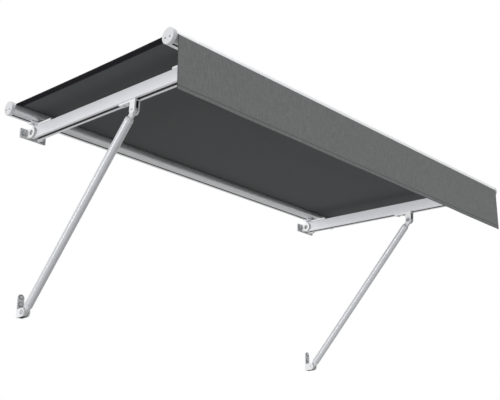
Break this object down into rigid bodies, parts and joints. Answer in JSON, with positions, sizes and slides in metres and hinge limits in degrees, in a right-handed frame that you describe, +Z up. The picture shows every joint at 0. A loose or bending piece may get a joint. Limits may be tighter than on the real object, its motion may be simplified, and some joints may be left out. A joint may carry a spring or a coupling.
{
  "type": "fabric awning",
  "caption": "Wall-hung awning: cloth stretched between two tubes on box rails, held by slanting struts that set its tilt, with a valance along the front.",
  "frame": {"origin": "on the wall plane, midway between the wall brackets, at the height of the tilt pivots", "axes": "+X along the wall to the right as seen from the front, +Y into the wall, so the awning reaches out to -Y, +Z up"},
  "size_m": [2.692, 1.4111, 1.1392],
  "materials": {
    "tube_coat": "white powder coat",
    "strut_coat": "satin white powder coat",
    "rail_coat": "satin silver-white coat, drawn along its length",
    "casting": "powder-coated casting",
    "zinc_steel": "galvanised plate",
    "fastener": "stainless steel",
    "cap_plastic": "white moulded plastic",
    "deck_cloth": "woven acrylic awning cloth, charcoal grey, dark side hems",
    "valance_cloth": "woven acrylic awning cloth, mid grey, hemmed below"
  },
  "bodies": {
    "wall_fittings": {"wall_bracket_left": "zinc_steel", "wall_bracket_right": "zinc_steel", "pivot_bolt_left": "fastener", "pivot_bolt_right": "fastener", "wall_bolt_left_1": "fastener", "wall_bolt_left_2": "fastener", "wall_bolt_right_1": "fastener", "wall_bolt_right_2": "fastener", "strut_foot_left": "casting", "strut_foot_right": "casting", "foot_bolt_left_1": "fastener", "foot_bolt_left_2": "fastener", "foot_bolt_right_1": "fastener", "foot_bolt_right_2": "fastener", "foot_pin_left": "fastener", "foot_pin_right": "fastener"},
    "canopy": {"rail_left": "rail_coat", "rail_right": "rail_coat", "rail_knuckle_left": "casting", "rail_knuckle_right": "casting", "rail_front_cap_left": "cap_plastic", "rail_front_cap_right": "cap_plastic", "rear_tube": "tube_coat", "front_tube": "tube_coat", "rear_tube_cap_left": "cap_plastic", "rear_tube_cap_right": "cap_plastic", "front_tube_cap_left": "cap_plastic", "front_tube_cap_right": "cap_plastic", "rear_saddle_left": "casting", "rear_saddle_right": "casting", "front_saddle_left": "casting", "front_saddle_right": "casting", "rear_saddle_bolt_left_1": "fastener", "rear_saddle_bolt_left_2": "fastener", "rear_saddle_bolt_right_1": "fastener", "rear_saddle_bolt_right_2": "fastener", "front_saddle_bolt_left_1": "fastener", "front_saddle_bolt_left_2": "fastener", "front_saddle_bolt_right_1": "fastener", "front_saddle_bolt_right_2": "fastener", "fabric_deck": "deck_cloth", "valance": "valance_cloth"},
    "left_clevis": {"clevis_left": "casting", "slot_nut_left": "fastener", "clevis_pin_left": "fastener", "clevis_screw_left_1": "fastener", "clevis_screw_left_2": "fastener"},
    "right_clevis": {"clevis_right": "casting", "slot_nut_right": "fastener", "clevis_pin_right": "fastener", "clevis_screw_right_1": "fastener", "clevis_screw_right_2": "fastener"},
    "left_strut": {"strut_tube_left": "strut_coat", "strut_head_left": "casting", "strut_shoe_left": "casting"},
    "right_strut": {"strut_tube_right": "strut_coat", "strut_head_right": "casting", "strut_shoe_right": "casting"}
  },
  "joints": [
    {"name": "canopy_tilt", "type": "hinge", "parent": "wall_fittings", "child": "canopy", "pos_m": [0, -0.048, 0], "axis": [1, 0, 0], "range_deg": [-4.36, 10.64]},
    {"name": "clevis_left_slide", "type": "slide", "parent": "canopy", "child": "left_clevis", "axis": [0, -0.9971, -0.076], "range_m": [-0.0885, 0.2155]},
    {"name": "clevis_right_slide", "type": "slide", "parent": "canopy", "child": "right_clevis", "axis": [0, -0.9971, -0.076], "range_m": [-0.0885, 0.2155]},
    {"name": "strut_left_swing", "type": "hinge", "parent": "wall_fittings", "child": "left_strut", "pos_m": [-1.129, -0.05, -0.996], "axis": [1, 0, 0], "range_deg": [-5.2, 12.6]},
    {"name": "strut_right_swing", "type": "hinge", "parent": "wall_fittings", "child": "right_strut", "pos_m": [1.129, -0.05, -0.996], "axis": [1, 0, 0], "range_deg": [-5.2, 12.6]}
  ],
  "couplings": [
    {"joint": "clevis_left_slide", "follows": "canopy_tilt", "m_per_rad": 1.1574},
    {"joint": "clevis_right_slide", "follows": "canopy_tilt", "m_per_rad": 1.1574},
    {"joint": "strut_left_swing", "follows": "canopy_tilt", "ratio": 1.18},
    {"joint": "strut_right_swing", "follows": "canopy_tilt", "ratio": 1.18}
  ]
}
